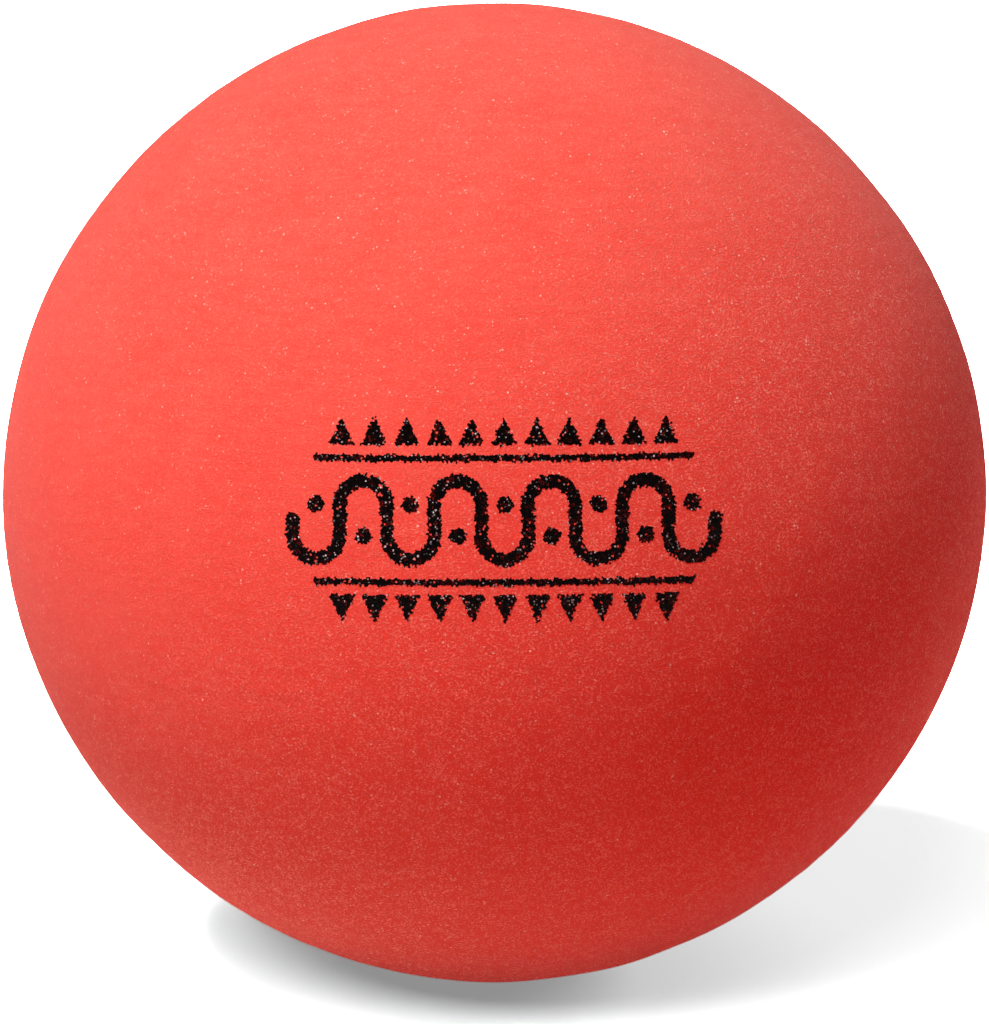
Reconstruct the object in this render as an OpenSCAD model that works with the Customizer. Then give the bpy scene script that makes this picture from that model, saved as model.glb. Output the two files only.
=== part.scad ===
// A soft play ball: one body of open-celled foam, ground round from a block, and a
// black ornamental frieze whose ink has soaked into the cells at the surface.
// Millimetres. +Z is up, the origin is the ball's centre and the frieze faces -Y.

/* [Ball] */
// Diameter of the foam ball
ball_d = 180; // [140:1:250]

/* [Ink] */
// Depth to which the ink has soaked into the foam
ink_depth = 0.4; // [0.2:0.1:1.5]
// Height of the frieze's centre above the ball's equator, in degrees
frieze_lat = 12; // [0:1:30]

/* [Wave] */
// Number of half rounds in the wave, odd so that both of its ends hang alike
round_count = 9; // [5:2:11]
// Radius of each half round, to the middle of its stroke
wave_r = 4.2; // [4:0.1:5]
// Length of the straight legs between the half rounds
wave_leg = 5.6; // [2:0.1:8]
// Width of the wave's stroke
wave_stroke = 2.4; // [1.5:0.1:3]
// Diameter of the dots in the wave's hollows
dot_d = 3; // [2:0.1:4]

/* [Rules] */
// Length of each straight rule
rule_l = 68; // [50:1:80]
// Width of a rule's stroke
rule_stroke = 1.2; // [0.8:0.1:2]
// Bare foam between the wave and each rule
rule_gap = 2.3; // [1:0.1:3]

/* [Teeth] */
// Number of teeth in each row
tooth_count = 11; // [7:1:13]
// Width of a tooth at its base
tooth_w = 4.6; // [3:0.1:5]
// Height of a tooth
tooth_h = 5; // [3:0.1:6]
// Bare foam between one tooth and the next, at the base
tooth_space = 1.2; // [0.8:0.1:1.5]
// Bare foam between a rule and the bases of its teeth
tooth_gap = 1.7; // [1:0.1:3]

/* [Hidden] */
$fn = 96;
ball_r = ball_d / 2;
// How far a cutting shape runs past the surface that it cuts
overrun = 1;
// The frieze is measured as it looks from straight in front, so each line here is a
// height or a length in the plane that touches the ball at the frieze's centre.
round_pitch = 2 * wave_r;
wave_half_l = round_count * wave_r;
wave_half_h = wave_leg / 2 + wave_r + wave_stroke / 2;
rule_y = wave_half_h + rule_gap + rule_stroke / 2;
tooth_y = rule_y + rule_stroke / 2 + tooth_gap;
tooth_pitch = tooth_w + tooth_space;

foam_red = "#f0523f";
ink_black = "#17100f";

// The half rounds are counted from 0 at the left end. The even ones bulge down, and leave
// a hollow that opens upwards, and the odd ones bulge up.
function bulge(i) = i % 2 == 0 ? -1 : 1;
function round_x(i) = (i - (round_count - 1) / 2) * round_pitch;

// One half round, bulging up for side 1 and down for side -1
module half_round(side) {
    intersection() {
        difference() {
            circle(r = wave_r + wave_stroke / 2);
            circle(r = wave_r - wave_stroke / 2);
        }
        translate([-round_pitch, side > 0 ? 0 : -round_pitch])
            square([2 * round_pitch, round_pitch]);
    }
}

// Each end of the wave stops half a leg above the round that it springs from
module wave_end(x) {
    translate([x, -wave_leg / 4])
        square([wave_stroke, wave_leg / 2], center = true);
    translate([x, 0])
        circle(d = wave_stroke);
}

module wave_shape() {
    for (i = [0 : round_count - 1])
        translate([round_x(i), bulge(i) * wave_leg / 2])
            half_round(bulge(i));
    for (i = [1 : round_count - 1])
        translate([round_x(i) - wave_r, 0])
            square([wave_stroke, wave_leg], center = true);
    for (end = [-1, 1])
        wave_end(end * wave_half_l);
}

// A dot sits in the mouth of each hollow that opens to this side
module dots_shape(side) {
    for (i = [0 : round_count - 1])
        if (bulge(i) == -side)
            translate([round_x(i), side * wave_leg / 2])
                circle(d = dot_d);
}

module rule_shape(side) {
    translate([-rule_l / 2, side * rule_y - rule_stroke / 2])
        square([rule_l, rule_stroke]);
}

module tooth() {
    polygon([[-tooth_w / 2, 0], [tooth_w / 2, 0], [0, tooth_h]]);
}

module teeth_shape(side) {
    for (i = [0 : tooth_count - 1])
        translate([(i - (tooth_count - 1) / 2) * tooth_pitch, side * tooth_y])
            rotate(side > 0 ? 0 : 180)
                tooth();
}

// The layer of the ball from the ink's depth up to the radius top_r, where the outline
// given as a child is pressed straight into the front of the ball
module pressed(top_r) {
    intersection() {
        difference() {
            sphere(r = top_r);
            sphere(r = ball_r - ink_depth);
        }
        rotate([90 - frieze_lat, 0, 0])
            linear_extrude(height = ball_r + overrun)
                children();
    }
}

// A pocket is cut a little past the surface, and the ink that fills it ends at the surface
module pocket() {
    pressed(ball_r + overrun) children();
}

module ink() {
    color(ink_black)
        pressed(ball_r) children();
}

module foam_ball() {
    color(foam_red)
        difference() {
            sphere(r = ball_r);
            pocket() wave_shape();
            for (side = [-1, 1]) {
                pocket() dots_shape(side);
                pocket() rule_shape(side);
                pocket() teeth_shape(side);
            }
        }
}

module ink_wave() {
    ink() wave_shape();
}

module ink_upper_dots() {
    ink() dots_shape(1);
}

module ink_lower_dots() {
    ink() dots_shape(-1);
}

module ink_upper_rule() {
    ink() rule_shape(1);
}

module ink_lower_rule() {
    ink() rule_shape(-1);
}

module ink_upper_teeth() {
    ink() teeth_shape(1);
}

module ink_lower_teeth() {
    ink() teeth_shape(-1);
}

foam_ball();
ink_wave();
ink_upper_dots();
ink_lower_dots();
ink_upper_rule();
ink_lower_rule();
ink_upper_teeth();
ink_lower_teeth();
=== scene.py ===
import math

import bpy
import numpy as np
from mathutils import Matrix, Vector
from mathutils.geometry import delaunay_2d_cdt


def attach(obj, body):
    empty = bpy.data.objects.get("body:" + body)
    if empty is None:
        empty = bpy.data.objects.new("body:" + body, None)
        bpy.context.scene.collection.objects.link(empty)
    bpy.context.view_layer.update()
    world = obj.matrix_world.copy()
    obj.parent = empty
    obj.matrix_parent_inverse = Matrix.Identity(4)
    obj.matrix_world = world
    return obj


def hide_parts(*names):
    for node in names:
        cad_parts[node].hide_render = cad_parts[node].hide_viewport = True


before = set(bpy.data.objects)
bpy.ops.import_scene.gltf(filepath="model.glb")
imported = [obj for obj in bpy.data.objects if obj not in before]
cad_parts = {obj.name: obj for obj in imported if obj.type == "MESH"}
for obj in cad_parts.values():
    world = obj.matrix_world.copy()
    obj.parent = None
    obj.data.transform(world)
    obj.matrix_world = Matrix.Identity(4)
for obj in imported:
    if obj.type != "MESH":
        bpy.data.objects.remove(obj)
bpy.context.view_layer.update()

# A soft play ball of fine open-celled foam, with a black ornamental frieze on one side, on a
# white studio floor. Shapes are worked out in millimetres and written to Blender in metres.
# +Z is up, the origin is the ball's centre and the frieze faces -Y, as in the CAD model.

METRES = 0.001
BODY = "root"

# Sizes of the CAD model
BALL_R = 90.0
FRIEZE_LAT = math.radians(12)
ROUND_COUNT = 9
WAVE_R = 4.2
WAVE_LEG = 5.6
WAVE_STROKE = 2.4
DOT_R = 1.5
RULE_L = 68.0
RULE_STROKE = 1.2
RULE_GAP = 2.3
TOOTH_COUNT = 11
TOOTH_W = 4.6
TOOTH_H = 5.0
TOOTH_PITCH = 5.8
TOOTH_GAP = 1.7
WAVE_HALF_L = ROUND_COUNT * WAVE_R
WAVE_HALF_H = WAVE_LEG / 2 + WAVE_R + WAVE_STROKE / 2
RULE_Y = WAVE_HALF_H + RULE_GAP + RULE_STROKE / 2
TOOTH_Y = RULE_Y + RULE_STROKE / 2 + TOOTH_GAP

# The ground surface of the foam. Each relief is seeded and has a root mean square height
# and a shortest and a longest wavelength.
GRID = 128
UNDULATION = {"seed": 3, "count": 40, "shortest": 14, "longest": 40, "height": 0.05}
DIMPLES = {"seed": 8, "count": 60, "shortest": 3.2, "longest": 7, "height": 0.009}
OUT_OF_ROUND = 0.18
RING_TILT = math.radians(10)
RING_PITCHES = (3.3, 4.1, 5.7)
RING_HEIGHT = 0.018
RING_BREAKS = {"seed": 21, "count": 24, "shortest": 20, "longest": 60, "height": 1}
REST_BULGE = 0.5
REST_SPREAD = math.radians(9)

# The ink is made of whole foam cells
CELL_SEED = 5
EDGE_SEED = 11
CELL_MARGIN_U = 3
CELL_MARGIN_V = 2
CELL_MERGE = 1e-9
CELL_PITCH = 0.40
CELL_JITTER = 0.36
EDGE_JITTER = 0.10
PINHOLES = 0.025
INK_LIFT = 0.06
INK_ROUGH = 0.025
INK_PIT = 0.05
INK_PIT_SPREAD = (0.2, 1.4)
INK_BURIED = 0.25


# Shapes of the surface

def wave_field(points, seed, count, shortest, longest, height):
    """A smooth random relief over points in space: the sum of seeded plane waves."""
    rng = np.random.default_rng(seed)
    axes = rng.normal(size=(count, 3))
    axes /= np.linalg.norm(axes, axis=1)[:, None]
    lengths = shortest * (longest / shortest) ** rng.random(count)
    phases = rng.random(count) * 2 * np.pi
    total = np.zeros(len(points))
    for axis, length, phase in zip(axes, lengths, phases):
        total += np.sin(points @ axis * (2 * np.pi / length) + phase)
    return height * math.sqrt(2 / count) * total


def out_of_round(ways):
    """A few tenths of a millimetre by which the ball is wider across than between."""
    across = ways[:, 0] ** 2 - ways[:, 2] ** 2
    between = across ** 2 - 4 * (ways[:, 0] * ways[:, 2]) ** 2
    return OUT_OF_ROUND * (across + between)


def grinding_rings(points):
    """Faint broken rings left by the grinding, round an axis that leans back a little."""
    axis = np.array([0, math.sin(RING_TILT), math.cos(RING_TILT)])
    along = points @ axis
    rings = sum(np.sin(2 * np.pi * along / pitch + n) for n, pitch in enumerate(RING_PITCHES))
    broken = wave_field(points, **RING_BREAKS)
    return RING_HEIGHT * rings * np.clip(0.5 + 0.5 * broken, 0, 1)


def rest_bulge(ways):
    """The foam gives a little where the ball lies on the floor."""
    from_bottom = np.arccos(np.clip(-ways[:, 2], -1, 1))
    return REST_BULGE * np.exp(-(from_bottom / REST_SPREAD) ** 2)


def surface(ways, lift=0.0):
    """Points of the foam's surface in the given directions from the ball's centre."""
    points = ways * BALL_R
    radius = BALL_R + lift + out_of_round(ways) + rest_bulge(ways)
    radius = radius + wave_field(points, **UNDULATION) + wave_field(points, **DIMPLES)
    radius = radius + grinding_rings(points)
    shaped = ways * radius[:, None]
    shaped[:, 2] = np.maximum(shaped[:, 2], -BALL_R)
    return shaped


def new_piece(name, points, faces, node):
    """A mesh in the frame's metres that stands for a CAD node."""
    mesh = bpy.data.meshes.new(name)
    mesh.from_pydata((points * METRES).tolist(), [], faces)
    mesh.update()
    piece = bpy.data.objects.new(name, mesh)
    bpy.context.scene.collection.objects.link(piece)
    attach(piece, BODY)
    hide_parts(node)
    piece.visible_diffuse = False
    return piece


# The foam ball

CUBE_SIDES = (
    ((1, 0, 0), (0, 1, 0), (0, 0, 1)), ((-1, 0, 0), (0, -1, 0), (0, 0, 1)),
    ((0, 1, 0), (-1, 0, 0), (0, 0, 1)), ((0, -1, 0), (1, 0, 0), (0, 0, 1)),
    ((0, 0, 1), (1, 0, 0), (0, 1, 0)), ((0, 0, -1), (-1, 0, 0), (0, 1, 0)),
)
SHEET_COLUMNS = 3
SHEET_ROWS = 2
SHEET_MARGIN = 0.006


def cube_sphere(grid):
    """Directions, quads and texture places of a cube blown up into a sphere."""
    steps = np.linspace(-1, 1, grid + 1)
    angles = np.tan(steps * math.pi / 4)
    ways, quads, places = [], [], []
    corner = np.arange(grid)[:, None] * (grid + 1) + np.arange(grid)[None, :]
    quad = np.stack([corner, corner + grid + 1, corner + grid + 2, corner + 1], axis=-1)
    inset = (steps + 1) / 2 * (1 - 2 * SHEET_MARGIN) + SHEET_MARGIN
    for side, (normal, right, up) in enumerate(CUBE_SIDES):
        spread = (
            np.array(normal)
            + angles[:, None, None] * np.array(right)
            + angles[None, :, None] * np.array(up)
        )
        ways.append((spread / np.linalg.norm(spread, axis=-1)[..., None]).reshape(-1, 3))
        quads.append(quad.reshape(-1, 4) + side * (grid + 1) ** 2)
        column, row = side % SHEET_COLUMNS, side // SHEET_COLUMNS
        across, down = np.meshgrid(inset, inset, indexing="ij")
        place = np.stack([(across + column) / SHEET_COLUMNS, (down + row) / SHEET_ROWS], -1)
        places.append(place.reshape(-1, 2))
    ways, quads, places = np.concatenate(ways), np.concatenate(quads), np.concatenate(places)
    _, first, welded = np.unique(
        np.round(ways, 7), axis=0, return_index=True, return_inverse=True
    )
    return ways[first], welded.reshape(-1)[quads], places[quads]


def make_foam_ball(material):
    ways, quads, places = cube_sphere(GRID)
    ball = new_piece("foam_body", surface(ways), quads.tolist(), "foam_ball")
    sheet = ball.data.uv_layers.new(name="OFBake")
    sheet.data.foreach_set("uv", places.reshape(-1))
    ball.data.shade_smooth()
    ball.data.materials.append(material)
    return ball


# The frieze's outlines: each says which of the points lie in it

def round_x(i):
    return (i - (ROUND_COUNT - 1) / 2) * 2 * WAVE_R


def bulge(i):
    return -1 if i % 2 == 0 else 1


def off_upright(u, v, x, low, high):
    """Distance from an upright line at x between two heights."""
    return np.hypot(u - x, v - np.clip(v, low, high))


def in_wave(u, v):
    """The wave's middle line is half rounds joined by upright legs."""
    away = np.full(len(u), np.inf)
    for i in range(ROUND_COUNT):
        rise = v - bulge(i) * WAVE_LEG / 2
        off_round = np.abs(np.hypot(u - round_x(i), rise) - WAVE_R)
        away = np.where(rise * bulge(i) >= 0, np.minimum(away, off_round), away)
    for i in range(1, ROUND_COUNT):
        leg = off_upright(u, v, round_x(i) - WAVE_R, -WAVE_LEG / 2, WAVE_LEG / 2)
        away = np.minimum(away, leg)
    for x in (-WAVE_HALF_L, WAVE_HALF_L):
        away = np.minimum(away, off_upright(u, v, x, -WAVE_LEG / 2, 0))
    return away <= WAVE_STROKE / 2


def in_dots(u, v, side):
    inside = np.zeros(len(u), bool)
    for i in range(ROUND_COUNT):
        if bulge(i) == -side:
            inside |= np.hypot(u - round_x(i), v - side * WAVE_LEG / 2) <= DOT_R
    return inside


def in_rule(u, v, side):
    return (np.abs(u) <= RULE_L / 2) & (np.abs(v - side * RULE_Y) <= RULE_STROKE / 2)


def in_teeth(u, v, side):
    inside = np.zeros(len(u), bool)
    height = side * v - TOOTH_Y
    for i in range(TOOTH_COUNT):
        x = (i - (TOOTH_COUNT - 1) / 2) * TOOTH_PITCH
        half_w = TOOTH_W / 2 * (1 - height / TOOTH_H)
        inside |= (height >= 0) & (np.abs(u - x) <= half_w)
    return inside


MOTIFS = {
    "ink_wave": in_wave,
    "ink_upper_dots": lambda u, v: in_dots(u, v, 1),
    "ink_lower_dots": lambda u, v: in_dots(u, v, -1),
    "ink_upper_rule": lambda u, v: in_rule(u, v, 1),
    "ink_lower_rule": lambda u, v: in_rule(u, v, -1),
    "ink_upper_teeth": lambda u, v: in_teeth(u, v, 1),
    "ink_lower_teeth": lambda u, v: in_teeth(u, v, -1),
}


# The ink, cell by cell

def on_ball(u, v):
    """Directions of points that are given in the plane in front of the frieze."""
    ahead = np.sqrt(BALL_R ** 2 - u ** 2 - v ** 2)
    sin_lat, cos_lat = math.sin(FRIEZE_LAT), math.cos(FRIEZE_LAT)
    y = v * sin_lat - ahead * cos_lat
    z = v * cos_lat + ahead * sin_lat
    return np.stack([u, y, z], axis=-1) / BALL_R


def foam_cells():
    """The cut foam cells behind the frieze: middles, corner points, and each one's corners."""
    rng = np.random.default_rng(CELL_SEED)
    half_u = WAVE_HALF_L + CELL_MARGIN_U
    half_v = TOOTH_Y + TOOTH_H + CELL_MARGIN_V
    columns = np.arange(-half_u, half_u, CELL_PITCH)
    rows = np.arange(-half_v, half_v, CELL_PITCH * math.sqrt(3) / 2)
    u, v = np.meshgrid(columns, rows)
    u = u + CELL_PITCH / 2 * (np.arange(len(rows)) % 2)[:, None]
    seeds = np.stack([u.ravel(), v.ravel()], axis=-1)
    seeds = seeds + CELL_PITCH * CELL_JITTER * rng.uniform(-1, 1, seeds.shape)
    found = delaunay_2d_cdt([Vector(p) for p in seeds], [], [], 0, CELL_MERGE)
    middles = np.array([tuple(p) for p in found[0]])
    triangles = np.array([face for face in found[2] if len(face) == 3])
    a, b, c = (middles[triangles[:, n]] for n in range(3))
    ab, ac = b - a, c - a
    twice = 2 * (ab[:, 0] * ac[:, 1] - ab[:, 1] * ac[:, 0])
    ab2, ac2 = (ab ** 2).sum(1), (ac ** 2).sum(1)
    corners = a + np.stack([
        (ac[:, 1] * ab2 - ab[:, 1] * ac2) / twice,
        (ab[:, 0] * ac2 - ac[:, 0] * ab2) / twice,
    ], axis=-1)
    cell = triangles.ravel()
    corner = np.repeat(np.arange(len(triangles)), 3)
    arm = corners[corner] - middles[cell]
    order = np.lexsort((np.arctan2(arm[:, 1], arm[:, 0]), cell))
    starts = np.searchsorted(cell[order], np.arange(1, len(middles)))
    outlines = [outline.tolist() for outline in np.split(corner[order], starts)]
    return middles, corners, outlines


def make_ink(name, inked, cells, material):
    """A thin ragged layer of whole inked cells, each sunk a little in its middle."""
    middles, corners, outlines = cells
    rng = np.random.default_rng(len(inked))
    used = np.unique(np.concatenate([outlines[n] for n in inked]))
    place = {corner: n for n, corner in enumerate(used)}
    rim, cup = corners[used], middles[inked]
    rim_way, cup_way = on_ball(rim[:, 0], rim[:, 1]), on_ball(cup[:, 0], cup[:, 1])
    rim_lift = INK_LIFT + INK_ROUGH * rng.uniform(-1, 1, len(used))
    cup_lift = INK_LIFT - INK_PIT * rng.uniform(*INK_PIT_SPREAD, len(inked))
    points = np.concatenate([
        surface(rim_way, rim_lift), surface(rim_way, -INK_BURIED), surface(cup_way, cup_lift)
    ])
    count = len(used)
    faces, sides = [], set()
    for n, cell in enumerate(inked):
        outline = [place[corner] for corner in outlines[cell]]
        turns = list(zip(outline, outline[1:] + outline[:1]))
        faces += [(2 * count + n, a, b) for a, b in turns]
        faces.append([count + a for a in reversed(outline)])
        sides.update(turns)
    faces += [(count + a, count + b, b, a) for a, b in sorted(sides) if (b, a) not in sides]
    ink = new_piece(name + "_cells", points, faces, name)
    ink.data.materials.append(material)
    return ink


def make_frieze(material):
    cells = foam_cells()
    middles = cells[0]
    rng = np.random.default_rng(EDGE_SEED)
    edge = middles + EDGE_JITTER * rng.normal(size=middles.shape)
    open_cells = rng.random(len(middles)) >= PINHOLES
    for name, inside in MOTIFS.items():
        inked = np.flatnonzero(inside(edge[:, 0], edge[:, 1]) & open_cells)
        make_ink(name, inked, cells, material)


# Materials

class Nodes:
    """Short calls for building one material's nodes."""

    def __init__(self, tree):
        self.tree = tree

    def add(self, kind, settings=(), **inputs):
        node = self.tree.nodes.new(kind)
        for name, value in dict(settings).items():
            setattr(node, name, value)
        for name, value in inputs.items():
            self.feed(node, name, value)
        return node

    def feed(self, node, name, value):
        socket = node.inputs[int(name[1:]) if name[1:].isdigit() else name]
        if isinstance(value, bpy.types.NodeSocket):
            self.tree.links.new(value, socket)
        else:
            socket.default_value = value

    def math(self, operation, a, b=0.0, c=0.0, clamp=False):
        settings = {"operation": operation, "use_clamp": clamp}
        return self.add("ShaderNodeMath", settings, _0=a, _1=b, _2=c).outputs[0]

    def vector(self, operation, a, b, c=(0.0, 0.0, 0.0)):
        settings = {"operation": operation}
        return self.add("ShaderNodeVectorMath", settings, _0=a, _1=b, _2=c).outputs[0]

    def dot(self, a, b):
        settings = {"operation": "DOT_PRODUCT"}
        return self.add("ShaderNodeVectorMath", settings, _0=a, _1=b).outputs["Value"]

    def noise(self, place, per_metre, detail):
        noise = self.add("ShaderNodeTexNoise", Vector=place, Scale=per_metre, Detail=detail)
        return noise.outputs["Fac"]

    def weighted(self, *terms):
        """The sum of some values, each times its own weight."""
        total = 0.0
        for value, weight in terms:
            total = self.math("MULTIPLY_ADD", value, weight, total)
        return total

    def span(self, value, low, high, to_low=0.0, to_high=1.0, smooth=False):
        """Maps low..high of a value to to_low..to_high, and clips what lies outside."""
        settings = {"interpolation_type": "SMOOTHSTEP" if smooth else "LINEAR"}
        node = self.add("ShaderNodeMapRange", settings, _0=value)
        for n, limit in enumerate((low, high, to_low, to_high), start=1):
            node.inputs[n].default_value = limit
        return node.outputs[0]

    def mix(self, share, a, b):
        node = self.add("ShaderNodeMix", {"data_type": "RGBA"}, _0=share)
        self.feed(node, "_6", a)
        self.feed(node, "_7", b)
        return node.outputs[2]


def new_material(name):
    material = bpy.data.materials.new(name)
    material.use_nodes = True
    tree = material.node_tree
    tree.nodes.clear()
    nodes = Nodes(tree)
    output = nodes.add("ShaderNodeOutputMaterial")
    return material, nodes, output


def rgb(red, green, blue):
    return (red, green, blue, 1.0)


# How many features of each pattern lie along a metre
CELLS = 2050.0
BENDS = 2600.0
CURLS = 1500.0
GRAINS = 2400.0
INK_GRAINS = 3400.0
MOTTLES = 430.0
CROWDS = 330.0
STREAKS = 170.0
CLOUDS = 60.0

CELL_WARP = 0.00034
WALL_EDGE = (0.02, 0.18)
GLINT_SMALL = 0.18
GLINT_LARGE = 0.48
GLINT_PROFILE = 0.5


def foam_texture(nodes):
    """The cut cells: place, distance to the cell's middle, walls, and three random numbers."""
    place = nodes.add("ShaderNodeTexCoord").outputs["Object"]
    bend = nodes.add("ShaderNodeTexNoise", Vector=place, Scale=BENDS, Detail=1.0)
    bend = nodes.vector("SUBTRACT", bend.outputs["Color"], (0.5, 0.5, 0.5))
    bent = nodes.vector("MULTIPLY_ADD", bend, (CELL_WARP,) * 3, place)
    scale = {"Vector": bent, "Scale": CELLS}
    cells = nodes.add("ShaderNodeTexVoronoi", **scale)
    edges = nodes.add("ShaderNodeTexVoronoi", {"feature": "DISTANCE_TO_EDGE"}, **scale)
    chance = nodes.add("ShaderNodeSeparateColor", Color=cells.outputs["Color"])
    wall = nodes.span(edges.outputs["Distance"], *WALL_EDGE, 1.0, 0.0)
    return place, cells.outputs["Distance"], wall, chance.outputs


def glints(nodes, chance, middle, rarest, fade):
    """Small painted highlights: bright spots of unlike sizes in cells whose random number is
    above rarest.
    """
    strength = nodes.math("POWER", nodes.span(chance[1], rarest, 1.0), fade)
    size = nodes.span(chance[2], 0.0, 1.0, GLINT_SMALL, GLINT_LARGE)
    spot = nodes.math("SUBTRACT", 1.0, nodes.math("DIVIDE", middle, size), clamp=True)
    return nodes.math("MULTIPLY", strength, nodes.math("POWER", spot, GLINT_PROFILE))


def drawn_out(nodes, place, stretch):
    """The place squeezed along the grinding's axis, so that a noise there lies in its rings."""
    axis = (0.0, math.sin(RING_TILT), math.cos(RING_TILT))
    extra = nodes.math("MULTIPLY", nodes.dot(place, axis), stretch - 1)
    shift = nodes.add("ShaderNodeVectorMath", {"operation": "SCALE"}, _0=axis, Scale=extra)
    return nodes.vector("ADD", place, shift.outputs[0])


def filaments(nodes, place, per_metre, thin):
    """Thin curly bright lines where a noise passes its middle value."""
    noise = nodes.noise(place, per_metre, 2.0)
    off = nodes.math("ABSOLUTE", nodes.math("SUBTRACT", noise, 0.5))
    return nodes.span(off, 0.0, thin, 1.0, 0.0)


# The foam's own grain, partly painted: shade in the deep red pits, a whitish sheen on walls and
# curls
FOAM_PIT_AND_SHADE = rgb(0.80, 0.062, 0.043)
FOAM_WALL_AND_SHEEN = rgb(1.0, 0.260, 0.190)
FOAM_PAINTED_GLINT = rgb(1.0, 0.74, 0.62)
# Each range below is a noise's low and high value, then what they stand for
GRAIN_STRETCH = 1.35
STREAK_STRETCH = 5.0
CURL_WIDTH = 0.055
CURL_RANGE = (0.3, 1.0)
GRAIN_RANGE = (0.48, 0.70)
MOTTLE_RANGE = (0.36, 0.64, 0.75, 1.25)
STREAK_RANGE = (0.3, 0.7, -0.02, 0.06)
CLOUD_RANGE = (0.3, 0.7, -0.02, 0.03)
CROWD_RANGE = (0.38, 0.62, 0.25, 1.0)
CURL_TONE = 0.40
GRAIN_TONE = 0.42
WALL_TONE = 0.08
TONE_MEAN = 0.18
# Painted relief shade: low on the ball and to the frieze's right, the side in shade, the grain
# has stronger contrast, extra painted highlights and a purer red; on the lit side its contrast
# is less
SHADED_SIDE_WAY = (0.6, 0.0, -0.8)
LIT_SIDE_END = -0.045
SHADED_SIDE_END = 0.030
LIT_SIDE_CONTRAST = 0.65
SHADED_SIDE_CONTRAST = 2.8
GLINTS_ON_SHADED_SIDE = 1.8
# How rare the foam's painted highlights are, and how fast they fade
FOAM_GLINTS = (0.80, 1.6)
CURL_RELIEF = 0.6
GRAIN_RELIEF = 0.6
WALL_RELIEF = 0.2
STREAK_RELIEF = 0.3
FOAM_BUMP = 0.00013
FOAM_ROUGHNESS = (0.9, 0.6)
FOAM_DIFFUSE_ROUGHNESS = 0.25
FOAM_SPECULAR = 0.03
FOAM_SHEEN = 0.08
FOAM_SHEEN_ROUGHNESS = 0.5


def foam_material():
    material, nodes, output = new_material("fine_red_foam")
    place, middle, wall, chance = foam_texture(nodes)
    lain = drawn_out(nodes, place, GRAIN_STRETCH)
    curls = filaments(nodes, lain, CURLS, CURL_WIDTH)
    grain = nodes.noise(lain, GRAINS, 2.0)
    mottle = nodes.noise(lain, MOTTLES, 3.0)
    cloud = nodes.noise(place, CLOUDS, 2.0)
    streaks = nodes.noise(drawn_out(nodes, place, STREAK_STRETCH), STREAKS, 2.0)
    crowd = nodes.noise(place, CROWDS, 1.0)

    rise = nodes.span(grain, *GRAIN_RANGE)
    lit = nodes.math("MULTIPLY", curls, nodes.span(chance[0], *CURL_RANGE))
    tone = nodes.weighted((rise, GRAIN_TONE), (lit, CURL_TONE), (wall, WALL_TONE))
    tone = nodes.math("MULTIPLY", tone, nodes.span(mottle, *MOTTLE_RANGE))
    # Painted relief shade: stronger grain contrast toward the shaded side, weaker on the lit
    # side
    aside = nodes.dot(place, SHADED_SIDE_WAY)
    shade_contrast = nodes.span(aside, LIT_SIDE_END, SHADED_SIDE_END, LIT_SIDE_CONTRAST, SHADED_SIDE_CONTRAST, smooth=True)
    off_mean = nodes.math("SUBTRACT", tone, TONE_MEAN)
    tone = nodes.math("MULTIPLY_ADD", off_mean, shade_contrast, TONE_MEAN)
    tone = nodes.math("ADD", tone, nodes.span(streaks, *STREAK_RANGE))
    tone = nodes.math("ADD", tone, nodes.span(cloud, *CLOUD_RANGE), clamp=True)
    colour = nodes.mix(tone, FOAM_PIT_AND_SHADE, FOAM_WALL_AND_SHEEN)

    # Painted highlights: bright spots where cell walls would reflect a lamp, mixed into the
    # base colour
    glint = glints(nodes, chance, middle, *FOAM_GLINTS)
    share = nodes.math("MULTIPLY", nodes.span(crowd, *CROWD_RANGE), glint)
    # Painted highlights: stronger on the shaded side
    more = nodes.span(aside, LIT_SIDE_END, SHADED_SIDE_END, 1.0, GLINTS_ON_SHADED_SIDE)
    colour = nodes.mix(nodes.math("MULTIPLY", share, more), colour, FOAM_PAINTED_GLINT)

    relief = nodes.weighted(
        (rise, GRAIN_RELIEF), (lit, CURL_RELIEF), (wall, WALL_RELIEF), (streaks, STREAK_RELIEF)
    )
    bump = nodes.add("ShaderNodeBump", Strength=1.0, Distance=FOAM_BUMP, Height=relief)
    shader = nodes.add("ShaderNodeBsdfPrincipled", Normal=bump.outputs[0])
    nodes.feed(shader, "Base Color", colour)
    nodes.feed(shader, "Roughness", nodes.span(tone, 0.0, 1.0, *FOAM_ROUGHNESS))
    shader.inputs["Diffuse Roughness"].default_value = FOAM_DIFFUSE_ROUGHNESS
    shader.inputs["Specular IOR Level"].default_value = FOAM_SPECULAR
    shader.inputs["Sheen Weight"].default_value = FOAM_SHEEN
    shader.inputs["Sheen Roughness"].default_value = FOAM_SHEEN_ROUGHNESS
    nodes.feed(output, "Surface", shader.outputs[0])
    return material


INK_BLACK = rgb(0.0012, 0.0006, 0.0006)
INK_THIN = rgb(0.20, 0.010, 0.008)
INK_PAINTED_GLINT = rgb(1.0, 0.95, 0.97)
# The ink is thin on the walls of the few cells whose random number is in this range
THIN_RANGE = (0.86, 1.0)
# How rare the ink's painted highlights are, and how fast they fade
INK_GLINTS = (0.66, 1.5)
INK_GRAIN_RELIEF = 0.6
INK_BUMP = 0.0001
INK_ROUGHNESS = (0.4, 0.8)
INK_SPECULAR = 0.01


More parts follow.
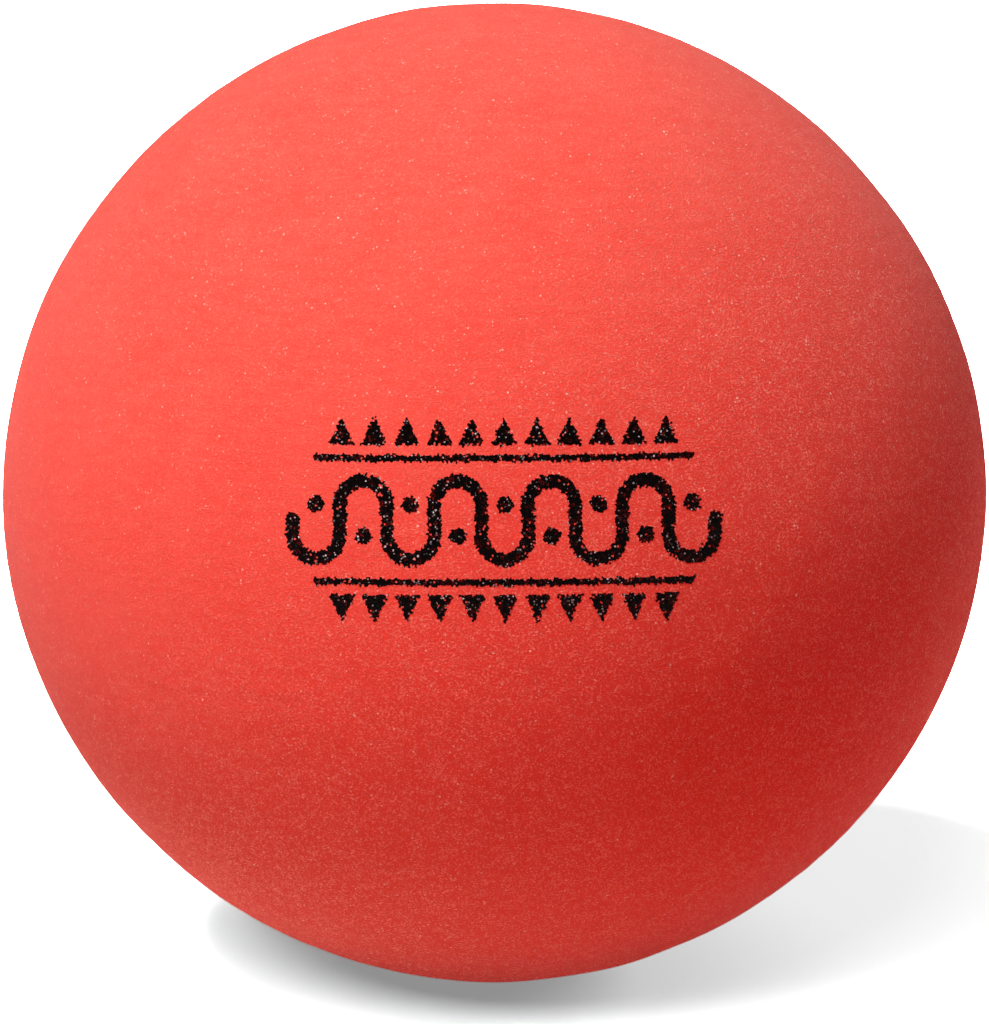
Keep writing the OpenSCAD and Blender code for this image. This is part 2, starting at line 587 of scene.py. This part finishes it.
def ink_material():
    material, nodes, output = new_material("soaked_black_ink")
    place, middle, wall, chance = foam_texture(nodes)
    grain = nodes.noise(place, INK_GRAINS, 2.0)
    thin = nodes.math("MULTIPLY", nodes.span(chance[0], *THIN_RANGE), wall)
    colour = nodes.mix(thin, INK_BLACK, INK_THIN)
    # Painted highlights: small pale spots on the ink's cell walls, mixed into its base colour
    colour = nodes.mix(glints(nodes, chance, middle, *INK_GLINTS), colour, INK_PAINTED_GLINT)
    relief = nodes.math("MULTIPLY_ADD", grain, INK_GRAIN_RELIEF, wall)
    bump = nodes.add("ShaderNodeBump", Strength=1.0, Distance=INK_BUMP, Height=relief)
    shader = nodes.add("ShaderNodeBsdfPrincipled", Normal=bump.outputs[0])
    nodes.feed(shader, "Base Color", colour)
    nodes.feed(shader, "Roughness", nodes.span(chance[2], 0.0, 1.0, *INK_ROUGHNESS))
    shader.inputs["Specular IOR Level"].default_value = INK_SPECULAR
    nodes.feed(output, "Surface", shader.outputs[0])
    return material


# The studio

FLOOR_R = 4.0
FLOOR_EDGES = 96
WHITE = rgb(1.0, 1.0, 1.0)
# Painted bounce light: to bounce rays the floor is red on the ball's right and far out, so its
# shaded side is redder
FLOOR_BOUNCE_LEFT = rgb(0.50, 0.54, 0.46)
FLOOR_BOUNCE_RIGHT = rgb(0.46, 0.05, 0.03)
FLOOR_BOUNCE_FAR = rgb(0.82, 0.03, 0.02)
# Painted light: near the ball the floor glows dimly red to bounce rays, lighting the underside
# as if out of shadow
FLOOR_GLOW = rgb(0.44, 0.20, 0.20)
FLOOR_SEEN_WHITE = rgb(6.4, 6.4, 6.4)
FLOOR_SEEN_NEAR = 0.28
FLOOR_SEEN_FAR = 1.0
FLOOR_NEAR = 0.35
FLOOR_FAR = 0.9
BOUNCE_SIDE = 0.12
BOUNCE_NEAR = 0.09
BOUNCE_FAR = 0.30
GLOW_NEAR = 0.06
GLOW_FAR = 0.18


def seen_white(nodes):
    """1 for a ray from the camera, a glossy surface or glass, and 0 for any other."""
    path = nodes.add("ShaderNodeLightPath")
    seen = nodes.math("ADD", path.outputs["Is Camera Ray"], path.outputs["Is Glossy Ray"])
    return nodes.math("ADD", seen, path.outputs["Is Transmission Ray"], clamp=True)


def make_floor():
    material, nodes, output = new_material("white_floor")
    place = nodes.add("ShaderNodeTexCoord").outputs["Object"]
    away = nodes.add("ShaderNodeVectorMath", {"operation": "LENGTH"}, _0=place).outputs["Value"]
    glow = nodes.span(away, FLOOR_NEAR, FLOOR_FAR, FLOOR_SEEN_NEAR, FLOOR_SEEN_FAR, smooth=True)
    aside = nodes.add("ShaderNodeSeparateXYZ", Vector=place).outputs["X"]
    side = nodes.span(aside, -BOUNCE_SIDE, BOUNCE_SIDE, smooth=True)
    # Painted bounce light: the floor's colour as bounce rays see it
    bounce = nodes.mix(
        nodes.span(away, BOUNCE_NEAR, BOUNCE_FAR, smooth=True),
        nodes.mix(side, FLOOR_BOUNCE_LEFT, FLOOR_BOUNCE_RIGHT), FLOOR_BOUNCE_FAR,
    )
    seen = seen_white(nodes)
    cloth = nodes.add("ShaderNodeBsdfDiffuse", Color=nodes.mix(seen, bounce, FLOOR_SEEN_WHITE))
    # Painted light: the floor's glow near the ball, for bounce rays
    under = nodes.span(away, GLOW_NEAR, GLOW_FAR, 1.0, 0.0, smooth=True)
    light = nodes.add(
        "ShaderNodeEmission", Color=nodes.mix(seen, FLOOR_GLOW, WHITE),
        Strength=nodes.add("ShaderNodeMix", _0=seen, _2=under, _3=glow).outputs[0],
    )
    both = nodes.add("ShaderNodeAddShader", _0=cloth.outputs[0], _1=light.outputs[0])
    nodes.feed(output, "Surface", both.outputs[0])

    turns = np.linspace(0, 2 * np.pi, FLOOR_EDGES, endpoint=False)
    rim = [(FLOOR_R * math.cos(a), FLOOR_R * math.sin(a), 0) for a in turns]
    mesh = bpy.data.meshes.new("floor")
    mesh.from_pydata(rim, [], [list(range(len(rim)))])
    mesh.materials.append(material)
    floor = bpy.data.objects.new("floor", mesh)
    floor.location = (0, 0, -BALL_R * METRES)
    bpy.context.scene.collection.objects.link(floor)


def make_world():
    world = bpy.data.worlds.new("studio")
    bpy.context.scene.world = world
    world.use_nodes = True
    world.node_tree.nodes.clear()
    nodes = Nodes(world.node_tree)
    sky = nodes.add("ShaderNodeBackground", Strength=seen_white(nodes))
    output = nodes.add("ShaderNodeOutputWorld")
    nodes.feed(output, "Surface", sky.outputs[0])


# Each lamp: its angle round the ball from the camera's side to the left and its height, in
# degrees, its width in metres, and its level, which is how bright a white card that faces it
# looks at the ball
LAMPS = {
    "key": (44, 62, 0.7, 1.16),
    "low": (37, 38, 0.8, 0.17),
    "front": (20, 47, 1.3, 0.14),
    "back": (-110, 17, 0.7, 0.145),
    "right": (-110, 49, 1.4, 0.055),
}
LAMP_DISTANCE = 1.6


def make_lamp(name, turn, height, width, level):
    data = bpy.data.lights.new(name, "AREA")
    data.shape = "DISK"
    data.size = width
    data.energy = level * math.pi ** 2 * LAMP_DISTANCE ** 2
    data.cycles.use_multiple_importance_sampling = False
    lamp = bpy.data.objects.new(name, data)
    turn, height = math.radians(turn), math.radians(height)
    out = math.cos(height)
    way = Vector((-math.sin(turn) * out, -math.cos(turn) * out, math.sin(height)))
    lamp.location = way * LAMP_DISTANCE
    lamp.rotation_euler = way.to_track_quat("Z", "Y").to_euler()
    lamp.visible_camera = False
    bpy.context.scene.collection.objects.link(lamp)


# The camera looks down on the ball a little, from just left of the frieze's middle

CAMERA_DISTANCE = 3.0
CAMERA_AZIMUTH = math.radians(-1.2)
CAMERA_ELEVATION = math.radians(15.2)
IMAGE_H = 1024
BALL_PIXELS = 489.7
BALL_ABOVE_MIDDLE = 19.6
SENSOR = 36.0


def make_camera():
    half_angle = math.asin(BALL_R * METRES / CAMERA_DISTANCE)
    pixels_per_slope = BALL_PIXELS / math.tan(half_angle)
    data = bpy.data.cameras.new("camera")
    data.sensor_fit = "VERTICAL"
    data.sensor_height = SENSOR
    data.lens = pixels_per_slope * SENSOR / IMAGE_H
    data.clip_start = 0.1
    data.clip_end = 100
    camera = bpy.data.objects.new("camera", data)
    level = math.cos(CAMERA_ELEVATION)
    back = Vector((
        math.sin(CAMERA_AZIMUTH) * level,
        -math.cos(CAMERA_AZIMUTH) * level,
        math.sin(CAMERA_ELEVATION),
    ))
    camera.location = back * CAMERA_DISTANCE
    turn = back.to_track_quat("Z", "Y")
    up = turn @ Vector((0, 1, 0))
    drop = CAMERA_DISTANCE * BALL_ABOVE_MIDDLE / pixels_per_slope
    aim = -up * drop
    camera.rotation_euler = (camera.location - aim).to_track_quat("Z", "Y").to_euler()
    bpy.context.scene.collection.objects.link(camera)
    bpy.context.scene.camera = camera


make_foam_ball(foam_material())
make_frieze(ink_material())
make_floor()
make_world()
for lamp_name, settings in LAMPS.items():
    make_lamp(lamp_name, *settings)
make_camera()
bpy.context.scene.view_settings.view_transform = "Standard"
